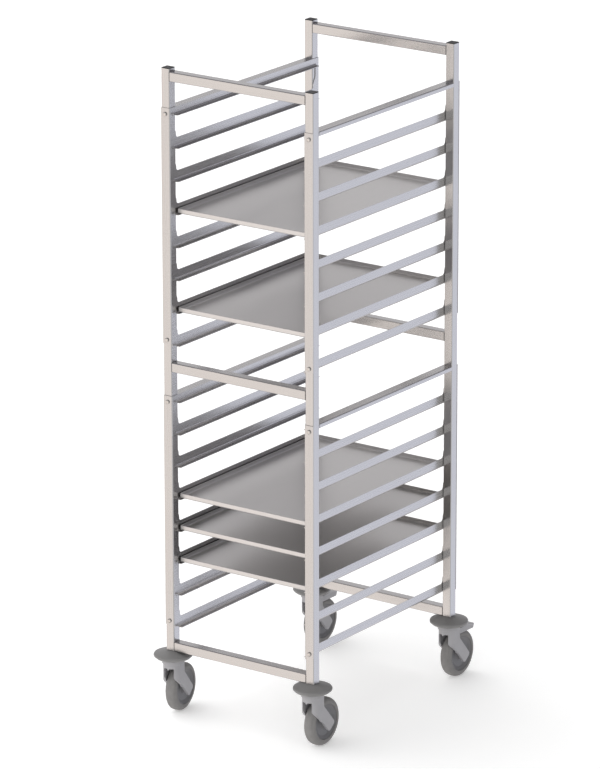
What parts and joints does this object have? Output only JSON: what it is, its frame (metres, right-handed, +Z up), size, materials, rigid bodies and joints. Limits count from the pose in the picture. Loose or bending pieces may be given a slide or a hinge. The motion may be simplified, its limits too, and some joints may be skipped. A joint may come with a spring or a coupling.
{
  "type": "sheet pan rack",
  "caption": "Mobile bakery rack: two square tube end frames joined by side panels with bent runners that carry sheet pans, on swivel castors with bumper discs and foot brakes.",
  "frame": {"origin": "centre of the bounding box at floor level, 25.5 mm in front of the point midway between the posts", "axes": "+Z up, +X to the right across the rack, +Y to the back along the pans"},
  "size_m": [0.535, 0.766, 1.7045],
  "materials": {
    "tube_steel": "satin ground stainless tube",
    "sheet_steel": "satin stainless sheet",
    "pan_metal": "satin rolled sheet",
    "screw_steel": "plain",
    "axle_steel": "plain",
    "cap_plastic": "moulded",
    "bumper_plastic": "moulded",
    "fork_plastic": "moulded",
    "rim_plastic": "moulded",
    "tyre_rubber": "smooth non-marking tread"
  },
  "bodies": {
    "rack_frame": {"front_frame": "tube_steel", "back_frame": "tube_steel", "end_cap_front_left": "cap_plastic", "end_cap_front_right": "cap_plastic", "end_cap_back_left": "cap_plastic", "end_cap_back_right": "cap_plastic", "side_panel_upper_left": "sheet_steel", "side_panel_upper_right": "sheet_steel", "side_panel_lower_left": "sheet_steel", "side_panel_lower_right": "sheet_steel", "panel_screw_front_left_1": "screw_steel", "panel_screw_front_left_2": "screw_steel", "panel_screw_front_left_3": "screw_steel", "panel_screw_front_left_4": "screw_steel", "panel_screw_front_right_1": "screw_steel", "panel_screw_front_right_2": "screw_steel", "panel_screw_front_right_3": "screw_steel", "panel_screw_front_right_4": "screw_steel", "panel_screw_back_left_1": "screw_steel", "panel_screw_back_left_2": "screw_steel", "panel_screw_back_left_3": "screw_steel", "panel_screw_back_left_4": "screw_steel", "panel_screw_back_right_1": "screw_steel", "panel_screw_back_right_2": "screw_steel", "panel_screw_back_right_3": "screw_steel", "panel_screw_back_right_4": "screw_steel", "castor_stem_front_left": "axle_steel", "bumper_disc_front_left": "bumper_plastic", "castor_stem_front_right": "axle_steel", "bumper_disc_front_right": "bumper_plastic", "castor_stem_back_left": "axle_steel", "bumper_disc_back_left": "bumper_plastic", "castor_stem_back_right": "axle_steel", "bumper_disc_back_right": "bumper_plastic"},
    "pan_04": {"sheet_pan_04": "pan_metal"},
    "pan_07": {"sheet_pan_07": "pan_metal"},
    "pan_12": {"sheet_pan_12": "pan_metal"},
    "pan_13": {"sheet_pan_13": "pan_metal"},
    "pan_14": {"sheet_pan_14": "pan_metal"},
    "castor_front_left": {"castor_fork_front_left": "fork_plastic", "wheel_axle_front_left": "axle_steel"},
    "wheel_front_left": {"wheel_tyre_front_left": "tyre_rubber", "wheel_centre_front_left": "rim_plastic"},
    "castor_front_right": {"castor_fork_front_right": "fork_plastic", "wheel_axle_front_right": "axle_steel"},
    "wheel_front_right": {"wheel_tyre_front_right": "tyre_rubber", "wheel_centre_front_right": "rim_plastic"},
    "castor_back_left": {"castor_fork_back_left": "fork_plastic", "wheel_axle_back_left": "axle_steel"},
    "wheel_back_left": {"wheel_tyre_back_left": "tyre_rubber", "wheel_centre_back_left": "rim_plastic"},
    "castor_back_right": {"castor_fork_back_right": "fork_plastic", "wheel_axle_back_right": "axle_steel"},
    "wheel_back_right": {"wheel_tyre_back_right": "tyre_rubber", "wheel_centre_back_right": "rim_plastic"},
    "pedal_back_left": {"brake_pedal_back_left": "fork_plastic", "brake_shoe_back_left": "axle_steel"},
    "pedal_back_right": {"brake_pedal_back_right": "fork_plastic", "brake_shoe_back_right": "axle_steel"}
  },
  "joints": [
    {"name": "pan_04_slide", "type": "slide", "parent": "rack_frame", "child": "pan_04", "axis": [0, -1, 0], "range_m": [-0.56, 0.56]},
    {"name": "pan_07_slide", "type": "slide", "parent": "rack_frame", "child": "pan_07", "axis": [0, -1, 0], "range_m": [-0.56, 0.56]},
    {"name": "pan_12_slide", "type": "slide", "parent": "rack_frame", "child": "pan_12", "axis": [0, -1, 0], "range_m": [-0.56, 0.56]},
    {"name": "pan_13_slide", "type": "slide", "parent": "rack_frame", "child": "pan_13", "axis": [0, -1, 0], "range_m": [-0.56, 0.56]},
    {"name": "pan_14_slide", "type": "slide", "parent": "rack_frame", "child": "pan_14", "axis": [0, -1, 0], "range_m": [-0.56, 0.56]},
    {"name": "swivel_front_left", "type": "hinge", "parent": "rack_frame", "child": "castor_front_left", "pos_m": [-0.2175, -0.333, 0.155], "axis": [0, 0, 1], "continuous": true},
    {"name": "wheel_spin_front_left", "type": "hinge", "parent": "castor_front_left", "child": "wheel_front_left", "pos_m": [-0.22319, -0.29492, 0.0625], "axis": [0.989, 0.1478, 0], "continuous": true},
    {"name": "swivel_front_right", "type": "hinge", "parent": "rack_frame", "child": "castor_front_right", "pos_m": [0.2175, -0.333, 0.155], "axis": [0, 0, 1], "continuous": true},
    {"name": "wheel_spin_front_right", "type": "hinge", "parent": "castor_front_right", "child": "wheel_front_right", "pos_m": [0.2175, -0.2945, 0.0625], "axis": [1, 0, 0], "continuous": true},
    {"name": "swivel_back_left", "type": "hinge", "parent": "rack_frame", "child": "castor_back_left", "pos_m": [-0.2175, 0.282, 0.155], "axis": [0, 0, 1], "continuous": true},
    {"name": "wheel_spin_back_left", "type": "hinge", "parent": "castor_back_left", "child": "wheel_back_left", "pos_m": [-0.2175, 0.3205, 0.0625], "axis": [1, 0, 0], "continuous": true},
    {"name": "swivel_back_right", "type": "hinge", "parent": "rack_frame", "child": "castor_back_right", "pos_m": [0.2175, 0.282, 0.155], "axis": [0, 0, 1], "continuous": true},
    {"name": "wheel_spin_back_right", "type": "hinge", "parent": "castor_back_right", "child": "wheel_back_right", "pos_m": [0.2175, 0.3205, 0.0625], "axis": [1, 0, 0], "continuous": true},
    {"name": "brake_back_left", "type": "hinge", "parent": "castor_back_left", "child": "pedal_back_left", "pos_m": [-0.2175, 0.292, 0.128], "axis": [-1, 0, 0], "range_deg": [0, 6]},
    {"name": "brake_back_right", "type": "hinge", "parent": "castor_back_right", "child": "pedal_back_right", "pos_m": [0.2175, 0.292, 0.128], "axis": [-1, 0, 0], "range_deg": [0, 6]}
  ]
}
